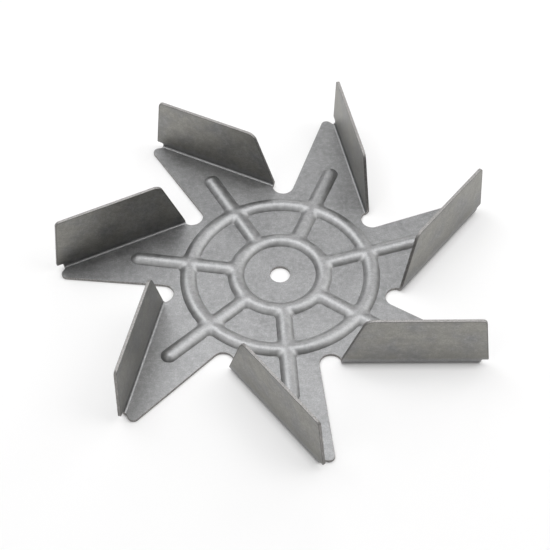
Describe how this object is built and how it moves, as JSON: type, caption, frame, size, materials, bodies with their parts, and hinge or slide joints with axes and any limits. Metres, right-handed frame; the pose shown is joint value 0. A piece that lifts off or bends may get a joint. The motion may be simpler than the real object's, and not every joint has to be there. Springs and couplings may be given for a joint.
{
  "type": "stamped fan impeller",
  "caption": "One-piece stamped sheet-steel fan impeller with straight folded blades, raised ring and spoke beads and a plain centre bore.",
  "frame": {"origin": "on the bore's axis, in the rest face (the underside of the flat sheet)", "axes": "+Z along the bore towards the blade side; +X along the fold of the first blade"},
  "size_m": [0.1721, 0.1746, 0.0271],
  "materials": {
    "sheet_steel": "satin aluminised sheet steel, finely mottled"
  },
  "bodies": {
    "root": {"impeller": "sheet_steel"}
  },
  "joints": []
}
